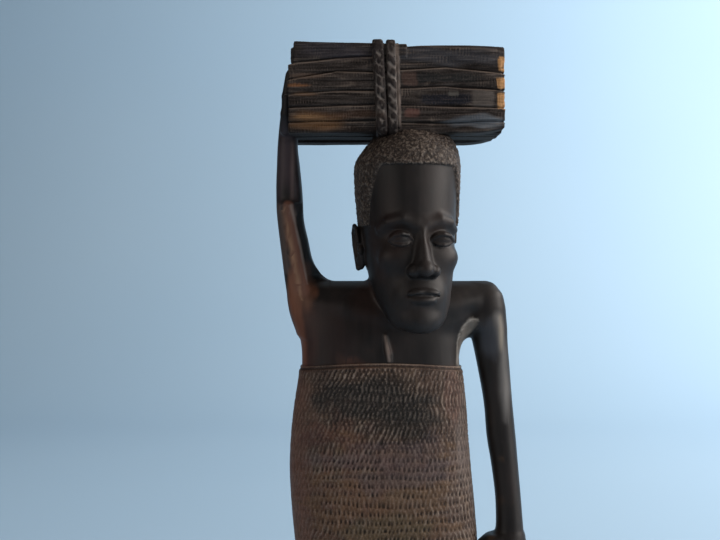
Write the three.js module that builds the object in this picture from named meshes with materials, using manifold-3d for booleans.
import * as THREE from 'three';
import { mergeVertices } from 'three/addons/utils/BufferGeometryUtils.js';
import Module from 'manifold-3d';

// A woman carved from one block of blackwood. She stands on a low oval base, carries a roped
// bundle of firewood on her head, steadies it with her raised right hand, and rests her left
// hand on her hip. Sizes are in millimetres. +Z is up, she faces -Y, and her left is +X.
// The origin is the middle of the base's flat underside.

// Driving dimensions
const HEIGHT = 394;
const BASE = { width: 86, depth: 68, height: 13, edge: 2, square: 2.2 };
const CORD = { radius: 3.2, proud: 2.3, places: [-6.3, 0.1], drift: 1.6, square: 8, gap: 4, turns: 16 };
const BUNDLE = { low: 349.5, high: HEIGHT - CORD.proud, front: -31, back: 20, left: -48, right: 52.5 };
const HEAD = { x: 7.6, y: -8, turn: THREE.MathUtils.degToRad(12), chin: 258, hairline: 334.5 };

// How many sides and steps each kind of form is cut into
const SIDES = { wrap: 36, trunk: 26, head: 22, neck: 16, arm: 12, stick: 8, inner: 6, finger: 6, base: 28 };
const STEPS = { wrap: 11, trunk: 6, skull: 12, hair: 7, neck: 3, hanging: 12, raised: 12, palm: 3, cord: 24 };
const BALL = { around: 8, down: 5 };

// Upright forms are given by level sections: their height, their four extents, and how
// square their outline is, from 2 for an ellipse upwards.
const section = (z, left, right, front, back, square) => ({ z, left, right, front, back, square });

const WRAP = [
  section(28, -29, 27, -19, 18, 2.3),
  section(60, -33, 30.5, -19.5, 18.5, 2.3),
  section(95, -38.5, 35.5, -20, 20, 2.4),
  section(125, -43, 40, -20.5, 22.5, 2.5),
  section(150, -46, 42.6, -21, 24, 2.6),
  section(173, -48.2, 41.1, -21, 23.5, 2.7),
  section(190, -49, 39.4, -21, 21.5, 2.8),
  section(208, -48.2, 37.9, -20.5, 19.5, 2.8),
  section(222, -46.8, 37, -19.5, 18.5, 2.8),
  section(238, -44.6, 35.5, -18.7, 17.7, 2.8),
  section(241.4, -44, 34.9, -18.1, 17.1, 2.8),
];

const TRUNK = [
  section(226, -43.2, 34, -17, 16, 2.8),
  section(240, -43, 33.8, -17, 16, 2.8),
  section(250, -43.4, 33.6, -16.8, 16.5, 2.8),
  section(257, -45, 35, -16.5, 16.8, 2.7),
  section(262, -46.8, 40, -16.1, 16.6, 2.6),
  section(267, -48.4, 45, -15.4, 15.8, 2.5),
  section(274, -48, 50, -13, 13, 2.5),
  section(278.4, -45, 51.5, -9, 9, 2.5),
  section(280.6, -40, 49, -4, 4, 2.2),
];
const BREASTBONE = { middle: [-1.8, -16.2, 246], radii: [1.5, 2, 8.5] };
const SPINE = { middle: [-4, 18.4, 254], radii: [2.2, 3, 22] };

const NECK = [
  section(262, -9.5, 22, -16, 12, 2),
  section(282, -10, 22.5, -20, 13, 2),
  section(302, -11, 25, -24, 12, 2),
];

const HANGING_ARM = [
  section(152, 48.6, 65, -14.5, 1, 2.4),
  section(160, 50.8, 64.4, -13, 1.5, 2.4),
  section(173, 51.2, 63.5, -11.5, 3, 2.4),
  section(192, 49.3, 62.2, -10, 5.5, 2.4),
  section(205, 47.3, 61.2, -9, 6.5, 2.4),
  section(220, 46.1, 59.8, -8.5, 7, 2.4),
  section(239.3, 42.8, 58.3, -8.5, 7.5, 2.5),
  section(253.5, 39.8, 57.3, -9, 8.5, 2.6),
  section(258, 38.6, 57.2, -9.3, 8.8, 2.6),
  section(262, 33, 56.9, -9.5, 9, 2.6),
  section(270, 33, 56, -9.5, 9, 2.6),
  section(276, 36, 54, -8, 7.5, 2.4),
  section(279.6, 40, 50.5, -4.5, 4, 2),
];

// The wood left standing between the trunk and the hanging arm, behind the armpit.
const ARMPIT = [
  section(246, 26, 33.2, -6, 14, 2.4),
  section(250, 26, 36, -7, 14, 2.4),
  section(253, 26, 40.4, -8, 13.5, 2.4),
  section(255.5, 26, 45.5, -8.5, 12, 2.4),
  section(262, 26, 48, -9, 10, 2.4),
];

const RAISED_ARM = [
  section(256, -44.8, -30, -8, 9, 2.2),
  section(266, -48.6, -31, -8, 9, 2.2),
  section(272, -50, -29, -8.4, 9, 2.2),
  section(280, -51.3, -31, -8.4, 8.4, 2.2),
  section(290, -52.6, -37.2, -8.2, 7.8, 2.2),
  section(301, -54, -40, -8.1, 7.4, 2.2),
  section(311, -55.1, -42.1, -8, 7, 2.2),
  section(319, -55.6, -42.6, -7.2, 6.8, 2.2),
  section(326, -55.8, -43, -6.4, 6.7, 2.2),
  section(336, -55.5, -43.9, -6.2, 6.4, 2.2),
  section(348.5, -54.9, -45.1, -6.6, 6.8, 2.3),
  section(358, -54, -43, -8.6, 8.8, 2.4),
  section(366, -52.9, -43, -10.2, 10.2, 2.6),
  section(373, -52.3, -43, -9.4, 9.4, 2.6),
];

// The hand that steadies the bundle lies flat on the bundle's end, with its fingers up.
const RAISED_HAND = { fingers: 4, pitch: 4.8, knuckle: 358, tip: 384, x: -49.7, bend: 1.4, longest: 1.2 };
const RAISED_FINGER = [2.7, 2.7, 2.4, 1.2];
const RAISED_THUMB = { path: [[-50, -7, 354], [-49.6, -12, 361], [-49.2, -15, 369]], radii: [3, 2.8, 1.4] };

// The hand on the hip follows the wrap, at these places around it in degrees from +X.
const HIP_HAND = { angles: [-6, -17, -29, -40], tips: [113, 109, 108.5, 111], knuckle: 140, lean: 8 };
const HIP_FINGER = { lifts: [2.4, 0.9, 0.3], radii: [3, 3, 2.5, 1.3] };
const HIP_THUMB = {
  angles: [-14, -42, -60],
  heights: [148, 147, 139],
  lifts: [3.5, 0.8, 0.4],
  radii: [4.2, 3.6, 1.6],
};
const PALM = [
  section(128, 32, 45.4, -17.6, -0.5, 2.4),
  section(134, 33, 50.5, -18.2, 0.5, 2.4),
  section(141, 35, 58.5, -17.8, 1, 2.4),
  section(148, 39, 63.8, -16.4, 1, 2.4),
  section(154, 41, 65, -14.3, 1, 2.4),
  section(159, 46.5, 64.5, -12.8, 1.2, 2.4),
];

// Legs and feet below the hem of the wrap
const ANKLE = [
  section(8, -10.5, 10.5, -11, 13, 2.2),
  section(20, -9.5, 9.5, -9, 10.5, 2.2),
  section(34, -9, 9, -8, 9, 2.2),
];
const ANKLE_WEB = [section(8, -6, 6, -5, 8, 2), section(34, -6, 6, -5, 8, 2)];
const ANKLE_APART = 10.2;
const FOOT = { apart: 11.2, sunk: 3, square: 2.4, toeLine: -31, toes: 5, toeSpread: 16, toeRadius: 2.6 };
const INSTEP = [
  { y: 14, high: 9, half: 5.5 },
  { y: 8, high: 14, half: 8 },
  { y: -8, high: 14, half: 8.5 },
  { y: -18, high: 8.5, half: 9.5 },
  { y: -26, high: 5.5, half: 10 },
];

// The head is described about its own upright axis and then turned to its left. The face is
// a plain one on the sculptor's rule of thirds: hairline to brow, to nose, to chin.
const SKULL = [
  section(257.5, -6.5, 6.5, -29, -17, 2),
  section(261, -11.5, 11.5, -31, -9, 2),
  section(268, -15.5, 15.5, -31.5, -1, 2.1),
  section(277, -18, 18, -30.5, 9, 2.2),
  section(288, -20, 20, -29.6, 17, 2.3),
  section(300, -21.5, 21.3, -29, 21, 2.2),
  section(314, -22.8, 22.3, -29, 23.5, 2.2),
  section(328, -23.8, 23, -28.6, 23.5, 2.2),
  section(338, -23.3, 23, -27.6, 22, 2.2),
  section(344, -19.5, 21.5, -25.8, 19.5, 2.2),
  section(349, -15.5, 18.5, -22.6, 16, 2.2),
  section(353.6, -13, 15.6, -16, 11, 2.2),
  section(356.6, -9.5, 12, -10, 6, 2.2),
];
// The hair's edge, seen from the side, as places along Y and their drop below the hairline
const HAIR = {
  thick: 1.7,
  from: 3,
  reach: 40,
  edge: [[-40, 0], [-22, 0], [-20, -3.5], [-15, -17], [-12.5, -27.5], [3, -27.5], [8, -50], [40, -50]],
};
const THIRD = (HEAD.hairline - HEAD.chin) / 3;
const BROW = HEAD.hairline - THIRD;
const NOSE_BASE = BROW - THIRD;
const EYE = { apart: 9.8, z: BROW - THIRD * 0.32, ball: [5.6, 3.4, 3.5], socket: [7.4, 4.2, 5.2] };
const MOUTH = NOSE_BASE - THIRD * 0.34;
const EAR = { x: 22.2, y: 3, tilt: 0.14, shell: [3, 5.6, THIRD * 0.44], hollow: [2.4, 3.3, THIRD * 0.28] };
const NOSE = [
  section(NOSE_BASE - 0.8, -5.6, 5.6, -34, -24, 2),
  section(NOSE_BASE + 2.2, -6, 6, -36.6, -24, 2),
  section(NOSE_BASE + 8, -3.8, 3.8, -35, -24, 2),
  section(NOSE_BASE + 15, -2.7, 2.7, -32.2, -24, 2),
  section(BROW - 2, -2.8, 2.8, -30, -24, 2),
];

// Heights of the splits between the sticks that show on the bundle's two long faces, where
// the rope pinches them, half way out, and at the ends, where they fan apart.
const LEFT_SPLITS = {
  rope: [350, 354.8, 362.4, 368.8, 376.6, 384.6, BUNDLE.high - 1.3],
  middle: [349.6, 354.5, 361.7, 368.3, 377.4, 383.4, BUNDLE.high - 0.5],
  end: [349.6, 354.1, 360.8, 366.5, 373.4, 380.7, BUNDLE.high],
};
const RIGHT_SPLITS = {
  rope: [350, 354.2, 361.9, 369.5, 377.7, BUNDLE.high - 3],
  middle: [349.5, 353.6, 361.2, 370.4, 379.3, BUNDLE.high - 1.8],
  end: [351.8, 354.5, 360.8, 368.6, 376.6, BUNDLE.high - 2.4],
};
const STICK = { deep: 12, overlap: 0.9, square: 3.2, ragged: 1.2, chamfer: 2, chamferLength: 4, tuck: 1.8 };
const SHORT_STICK = 2.6;
const ROPE_X = -2.8;
const UNDER_ROPE = 3;
const INNER = { across: 3, levels: 5, squeeze: 1.5, sink: 0.6 };
const STUB = { from: 1, to: 7.1, low: 382, inset: 1, front: 2, back: 10 };

const wasm = await Module();
wasm.setup();

function mergedPositions(geometry) {
  geometry.deleteAttribute('normal');
  geometry.deleteAttribute('uv');
  return mergeVertices(geometry, 1e-4);
}

function signedVolume(geometry) {
  const index = geometry.index.array;
  const { position } = geometry.attributes;
  const corners = [new THREE.Vector3(), new THREE.Vector3(), new THREE.Vector3()];
  let volume = 0;
  for (let start = 0; start < index.length; start += 3) {
    corners.forEach((corner, k) => corner.fromBufferAttribute(position, index[start + k]));
    volume += corners[0].dot(corners[1].cross(corners[2])) / 6;
  }
  return volume;
}

// A closed geometry becomes a solid that can be joined and cut, with its faces pointing out.
function solid(geometry) {
  const merged = mergedPositions(geometry);
  const triVerts = Uint32Array.from(merged.index.array);
  if (signedVolume(merged) < 0) {
    triVerts.reverse();
  }
  const vertProperties = Float32Array.from(merged.attributes.position.array);
  return new wasm.Manifold(new wasm.Mesh({ numProp: 3, vertProperties, triVerts }));
}

function join(solids) {
  return solids.reduce((whole, next) => whole.add(next));
}

const vector = ([x, y, z]) => new THREE.Vector3(x, y, z);

// The values of a list of stations at any place between its first and its last.
function between(stations, along, place) {
  const keys = Object.keys(stations[0]);
  const places = stations.map((station) => station[along]);
  const samples = stations.flatMap((station) => keys.map((key) => station[key]));
  const values = new THREE.CubicInterpolant(places, samples, keys.length).evaluate(place);
  return Object.fromEntries(keys.map((key, k) => [key, values[k]]));
}

// The same stations, smoothed and cut into equal steps.
function resampled(stations, along, steps) {
  const first = stations[0][along];
  const last = stations[stations.length - 1][along];
  return Array.from({ length: steps + 1 }, (_, step) => (
    between(stations, along, THREE.MathUtils.lerp(first, last, step / steps))
  ));
}

function signedPower(value, exponent) {
  return Math.sign(value) * Math.abs(value) ** exponent;
}

// A point on a squared ellipse that fills the box from low to high and from near to far.
function squaredEllipse(low, high, near, far, square, angle) {
  const across = signedPower(Math.cos(angle), 2 / square);
  const through = signedPower(Math.sin(angle), 2 / square);
  return [(low + high + (high - low) * across) / 2, (near + far + (far - near) * through) / 2];
}

function outline(low, high, near, far, square, sides) {
  return Array.from({ length: sides }, (_, side) => (
    squaredEllipse(low, high, near, far, square, ((side + 0.5) / sides) * Math.PI * 2)
  ));
}

// The closed surface through a row of rings, with a fan over each end.
function skin(rings) {
  const sides = rings[0].length;
  const points = rings.flat();
  const index = [];
  const corner = (ring, side) => ring * sides + (side % sides);
  for (let ring = 0; ring < rings.length - 1; ring += 1) {
    for (let side = 0; side < sides; side += 1) {
      index.push(corner(ring, side), corner(ring, side + 1), corner(ring + 1, side));
      index.push(corner(ring, side + 1), corner(ring + 1, side + 1), corner(ring + 1, side));
    }
  }
  [0, rings.length - 1].forEach((ring) => {
    const middle = new THREE.Vector3();
    rings[ring].forEach((point) => middle.addScaledVector(point, 1 / sides));
    points.push(middle);
    for (let side = 0; side < sides; side += 1) {
      const edge = [corner(ring, side), corner(ring, side + 1)];
      index.push(...(ring === 0 ? edge.reverse() : edge), points.length - 1);
    }
  });
  const geometry = new THREE.BufferGeometry().setFromPoints(points);
  geometry.setIndex(index);
  return geometry;
}

// An upright form through its level sections.
function column(sections, sides, steps) {
  return skin(resampled(sections, 'z', steps).map((at) => (
    outline(at.left, at.right, at.front, at.back, at.square, sides)
      .map(([x, y]) => new THREE.Vector3(x, y, at.z))
  )));
}

// A form that lies along X, through stations given by their extents in Y and Z.
function beam(stations, sides, square) {
  return skin(stations.map((at) => (
    outline(at.front, at.back, at.low, at.high, square, sides).map(([y, z]) => new THREE.Vector3(at.x, y, z))
  )));
}

// A tapered round rod along a smooth path, for fingers and toes.
function rod(path, radii) {
  const steps = radii.length - 1;
  const curve = new THREE.CatmullRomCurve3(path);
  const frames = curve.computeFrenetFrames(steps, false);
  return skin(radii.map((radius, step) => (
    Array.from({ length: SIDES.finger }, (_, side) => {
      const angle = (side / SIDES.finger) * Math.PI * 2;
      const point = curve.getPointAt(step / steps);
      point.addScaledVector(frames.normals[step], Math.cos(angle) * radius);
      return point.addScaledVector(frames.binormals[step], Math.sin(angle) * radius);
    })
  )));
}

function ball(middle, radii, tilt = 0) {
  const geometry = new THREE.SphereGeometry(1, BALL.around, BALL.down);
  geometry.scale(...radii);
  geometry.rotateY(tilt);
  geometry.translate(...middle);
  return geometry;
}

function base() {
  const { width, depth, height, edge, square } = BASE;
  const ring = (z, inset) => {
    const half = [width / 2 - inset, depth / 2 - inset];
    const points = outline(-half[0], half[0], -half[1], half[1], square, SIDES.base);
    return points.map(([x, y]) => new THREE.Vector3(x, y, z));
  };
  return solid(skin([ring(0, edge / 2), ring(edge, 0), ring(height - edge, 0), ring(height, edge)]));
}

function toe(x, side, k) {
  const outward = k / (FOOT.toes - 1);
  const across = x + side * (outward - 0.5) * FOOT.toeSpread;
  const tip = FOOT.toeLine + outward ** 2 * 4;
  const radius = FOOT.toeRadius * (1.2 - 0.35 * outward);
  const path = [
    [across, tip + 9, BASE.height + 3.2],
    [across, tip + 3, BASE.height + 1],
    [across, tip, BASE.height],
  ];
  return solid(rod(path.map(vector), [radius, radius, radius * 0.5]));
}

function foot(side) {
  const x = side * FOOT.apart;
  const rings = INSTEP.map(({ y, high, half }) => {
    const low = BASE.height - FOOT.sunk;
    const points = outline(x - half, x + half, low, BASE.height + high, FOOT.square, SIDES.arm);
    return points.map(([across, z]) => new THREE.Vector3(across, y, z));
  });
  const toes = Array.from({ length: FOOT.toes }, (_, k) => toe(x, side, k));
  return join([solid(skin(rings)), ...toes]);
}

function legs() {
  const moved = (by) => ANKLE.map((at) => ({ ...at, left: at.left + by, right: at.right + by }));
  const ankles = [-ANKLE_APART, ANKLE_APART].map((by) => solid(column(moved(by), SIDES.arm, 2)));
  const web = solid(column(ANKLE_WEB, SIDES.finger, 1));
  return join([...ankles, web, foot(-1), foot(1)]);
}

// A place on the surface of the wrap, lifted off it, at an angle around it from +X.
function onWrap(degrees, z, lift) {
  const at = between(WRAP, 'z', z);
  const angle = THREE.MathUtils.degToRad(degrees);
  const [left, right] = [at.left - lift, at.right + lift];
  const [x, y] = squaredEllipse(left, right, at.front - lift, at.back + lift, at.square, angle);
  return new THREE.Vector3(x, y, z);
}

function hipHand() {
  const { angles, tips, knuckle, lean } = HIP_HAND;
  const fingers = angles.map((angle, k) => {
    const heights = [knuckle, (knuckle + tips[k]) / 2, tips[k]];
    const path = HIP_FINGER.lifts.map((lift, n) => onWrap(angle - (lean * n) / 2, heights[n], lift));
    return solid(rod(path, HIP_FINGER.radii));
  });
  const thumbPath = HIP_THUMB.angles.map((angle, k) => (
    onWrap(angle, HIP_THUMB.heights[k], HIP_THUMB.lifts[k])
  ));
  const palm = solid(column(PALM, SIDES.arm, STEPS.palm));
  return join([palm, solid(rod(thumbPath, HIP_THUMB.radii)), ...fingers]);
}

function raisedHand() {
  const { fingers, pitch, knuckle, tip, x, bend, longest } = RAISED_HAND;
  const rows = Array.from({ length: fingers }, (_, k) => {
    const y = (k - (fingers - 1) / 2) * pitch;
    const end = tip - Math.abs(k - longest) * 1.8;
    const path = [[x, y, knuckle], [x, y * 1.04, (knuckle + end) / 2], [x + bend, y * 1.08, end]];
    return solid(rod(path.map(vector), RAISED_FINGER));
  });
  return join([...rows, solid(rod(RAISED_THUMB.path.map(vector), RAISED_THUMB.radii))]);
}

function arms() {
  return join([
    solid(column(HANGING_ARM, SIDES.arm, STEPS.hanging)),
    solid(column(ARMPIT, SIDES.inner, ARMPIT.length)),
    solid(column(RAISED_ARM, SIDES.arm, STEPS.raised)),
    hipHand(),
    raisedHand(),
  ]);
}

function trunk() {
  const wrap = solid(column(WRAP, SIDES.wrap, STEPS.wrap));
  const body = solid(column(TRUNK, SIDES.trunk, STEPS.trunk));
  const breastbone = solid(ball(BREASTBONE.middle, BREASTBONE.radii));
  const spine = solid(ball(SPINE.middle, SPINE.radii));
  return join([body, breastbone]).subtract(spine).add(wrap);
}

// Everything of the head is made about its own axis and then turned and set in place.
function onHead(geometry) {
  geometry.rotateZ(HEAD.turn);
  geometry.translate(HEAD.x, HEAD.y, 0);
  return solid(geometry);
}

function pair(make) {
  return [-1, 1].map((side) => onHead(make(side)));
}

// The cap of hair is a thicker skull, kept only inside a slab whose outline, seen from the
// side, steps down from the forehead past the temple and the ear to the nape.
function hair() {
  const { thick, from, reach, edge } = HAIR;
  const top = HEIGHT - HEAD.hairline;
  const corners = [...edge, [reach, top], [-reach, top]]
    .map(([y, drop]) => new THREE.Vector2(y, HEAD.hairline + drop));
  const slab = new THREE.ExtrudeGeometry(new THREE.Shape(corners), { depth: 2 * reach, bevelEnabled: false });
  const axes = [new THREE.Vector3(0, 1, 0), new THREE.Vector3(0, 0, 1), new THREE.Vector3(1, 0, 0)];
  slab.applyMatrix4(new THREE.Matrix4().makeBasis(...axes));
  slab.translate(-reach, 0, 0);
  const grown = SKULL.slice(from).map((at) => ({
    ...at,
    left: at.left - thick,
    right: at.right + thick,
    front: at.front - thick,
    back: at.back + thick,
  }));
  return onHead(column(grown, SIDES.head, STEPS.hair)).intersect(onHead(slab));
}

function face() {
  return join([
    onHead(column(NOSE, SIDES.arm, NOSE.length)),
    onHead(ball([0, -30.6, MOUTH + 1.7], [7.6, 2.9, 1.9])),
    onHead(ball([0, -30.6, MOUTH - 2.1], [6.8, 3, 2.2])),
    onHead(ball([0, -28.6, HEAD.chin + 5.6], [7, 3.8, 4.8])),
    ...pair((side) => ball([side * EYE.apart, -26.6, EYE.z], EYE.ball)),
    ...pair((side) => ball([side * EYE.apart, -27.2, BROW], [8.6, 2.7, 2])),
  ]);
}

function ears() {
  const { x, y, tilt, shell, hollow } = EAR;
  const z = (BROW + NOSE_BASE) / 2 - 0.6;
  const shells = pair((side) => ball([side * x, y, z], shell, side * tilt));
  const hollows = pair((side) => ball([side * (x + 3.8), y - 1.2, z + 2], hollow, side * tilt));
  return join(shells).subtract(join(hollows));
}

function head() {
  const sockets = pair((side) => ball([side * EYE.apart, -31.6, EYE.z + 0.6], EYE.socket));
  const skull = onHead(column(SKULL, SIDES.head, STEPS.skull)).subtract(join(sockets));
  return join([skull, solid(column(NECK, SIDES.neck, STEPS.neck)), face(), ears(), hair()]);
}

// A small unevenness that differs from stick to stick
function ragged(k) {
  return (((k * 7) % 5) / 4 - 0.5) * STICK.ragged;
}

// One stick through the given places along X, each with its own extents.
function stick(places, lows, highs, fronts, deep, sides = SIDES.stick) {
  const grow = STICK.overlap / 2;
  const stations = places.map((x, k) => (
    { x, low: lows[k] - grow, high: highs[k] + grow, front: fronts[k], back: fronts[k] + deep }
  ));
  return solid(beam(stations, sides, STICK.square));
}

// The sticks of one long face on one side of the rope. Each place has its splits, and a cut
// that says how far back from the face the sticks lie there.
function faceSticks(outer, inward, placesOf, splits, cuts) {
  return splits[0].slice(1).map((_, k) => {
    const places = placesOf(k);
    const lows = places.map((__, n) => splits[n][k]);
    const highs = places.map((__, n) => splits[n][k + 1]);
    const tuck = k === 0 ? STICK.tuck : ragged(k) / 2;
    const rims = cuts.map((cut) => outer + inward * (cut + tuck) - (inward < 0 ? STICK.deep : 0));
    return stick(places, lows, highs, rims, STICK.deep);
  });
}

function longFace(outer, inward) {
  const { left, right } = BUNDLE;
  const { end, middle, rope } = LEFT_SPLITS;
  const shortTop = (k) => (k === end.length - 2 ? SHORT_STICK : ragged(k) / 2);
  const leftPlaces = (k) => [left + shortTop(k), (left + ROPE_X) / 2, ROPE_X + UNDER_ROPE];
  const leftSticks = faceSticks(outer, inward, leftPlaces, [end, middle, rope], [0.6, 0, 0]);

  const tip = (k) => right + Math.min(ragged(k + 2), 0);
  const rightPlaces = (k) => (
    [ROPE_X - UNDER_ROPE, (right + ROPE_X) / 2, tip(k) - STICK.chamferLength, tip(k)]
  );
  const nearEnd = RIGHT_SPLITS.end.map((z, k) => THREE.MathUtils.lerp(z, RIGHT_SPLITS.middle[k], 0.2));
  const rightSplits = [RIGHT_SPLITS.rope, RIGHT_SPLITS.middle, nearEnd, RIGHT_SPLITS.end];
  return [...leftSticks, ...faceSticks(outer, inward, rightPlaces, rightSplits, [0, 0, 0, STICK.chamfer])];
}

// The sticks between the two long faces show on the top, the underside and the ends.
function innerSticks() {
  const { low, high, front, back, left, right } = BUNDLE;
  const row = (back - front - 2 * (STICK.deep - INNER.squeeze)) / INNER.across;
  const rise = (high - low) / INNER.levels;
  const sticks = [];
  for (let across = 0; across < INNER.across; across += 1) {
    for (let level = 0; level < INNER.levels; level += 1) {
      const sink = INNER.sink + Math.abs(ragged(across + level));
      const floor = low + level * rise + (level === 0 ? sink : 0);
      const roof = low + (level + 1) * rise - (level === INNER.levels - 1 ? sink : 0);
      const reach = ragged(across * 3 + level);
      const near = front + STICK.deep - INNER.squeeze + across * row - STICK.overlap / 2;
      const places = [left + 1 - reach, right - 1 + reach];
      const deep = row + STICK.overlap;
      sticks.push(stick(places, [floor, floor], [roof, roof], [near, near], deep, SIDES.inner));
    }
  }
  return sticks;
}

// A plain block inside the bundle, set in from its faces.
function block(from, to, inset) {
  const { low, high, front, back } = BUNDLE;
  const size = { low: low + inset, high: high - inset, front: front + inset, back: back - inset };
  return solid(beam([{ x: from, ...size }, { x: to, ...size }], SIDES.stick, CORD.square));
}

function bundle() {
  const { front, back, high, left, right } = BUNDLE;
  const stub = [STUB.from, STUB.to].map((x) => (
    { x, low: STUB.low, high: high - STUB.inset, front: front + STUB.front, back: front + STUB.back }
  ));
  return join([
    block(left + 0.2, right - 2, 3.5),
    block(CORD.places[0] - 2, CORD.places[1] + CORD.drift + 1, 0.9),
    solid(beam(stub, SIDES.stick, STICK.square)),
    ...longFace(front, 1),
    ...longFace(back, -1),
    ...innerSticks(),
  ]);
}

// Each cord goes once round the bundle, and its ends meet under it, inside the hair.
function cord(x) {
  const { radius, proud, drift, square, gap, turns } = CORD;
  const sunk = radius - proud;
  const [near, far] = [BUNDLE.front + sunk, BUNDLE.back - sunk];
  const [low, high] = [BUNDLE.low + sunk, BUNDLE.high - sunk];
  const path = Array.from({ length: turns + 1 }, (_, k) => {
    const degrees = THREE.MathUtils.lerp(gap - 90, 270 - gap, k / turns);
    const [y, z] = squaredEllipse(near, far, low, high, square, THREE.MathUtils.degToRad(degrees));
    return new THREE.Vector3(x + (drift * (high - z)) / (high - low), y, z);
  });
  const rim = outline(-radius, radius, -radius, radius, 2, SIDES.finger)
    .map((at) => new THREE.Vector2(...at));
  const options = { steps: STEPS.cord, bevelEnabled: false, extrudePath: new THREE.CatmullRomCurve3(path) };
  return solid(new THREE.ExtrudeGeometry(new THREE.Shape(rim), options));
}

function carve() {
  return join([base(), legs(), trunk(), arms(), head(), bundle(), ...CORD.places.map(cord)]);
}

function toGeometry(whole) {
  const { vertProperties, triVerts } = whole.getMesh();
  const geometry = new THREE.BufferGeometry();
  geometry.setAttribute('position', new THREE.BufferAttribute(vertProperties, 3));
  geometry.setIndex(new THREE.BufferAttribute(triVerts, 1));
  geometry.computeVertexNormals();
  return geometry;
}

const blackwood = new THREE.MeshStandardMaterial({ color: 0x2e231d, roughness: 0.45, metalness: 0 });
const figure = new THREE.Mesh(toGeometry(carve()), blackwood);
figure.name = 'figure';

const model = new THREE.Group();
model.add(figure);

export default model;
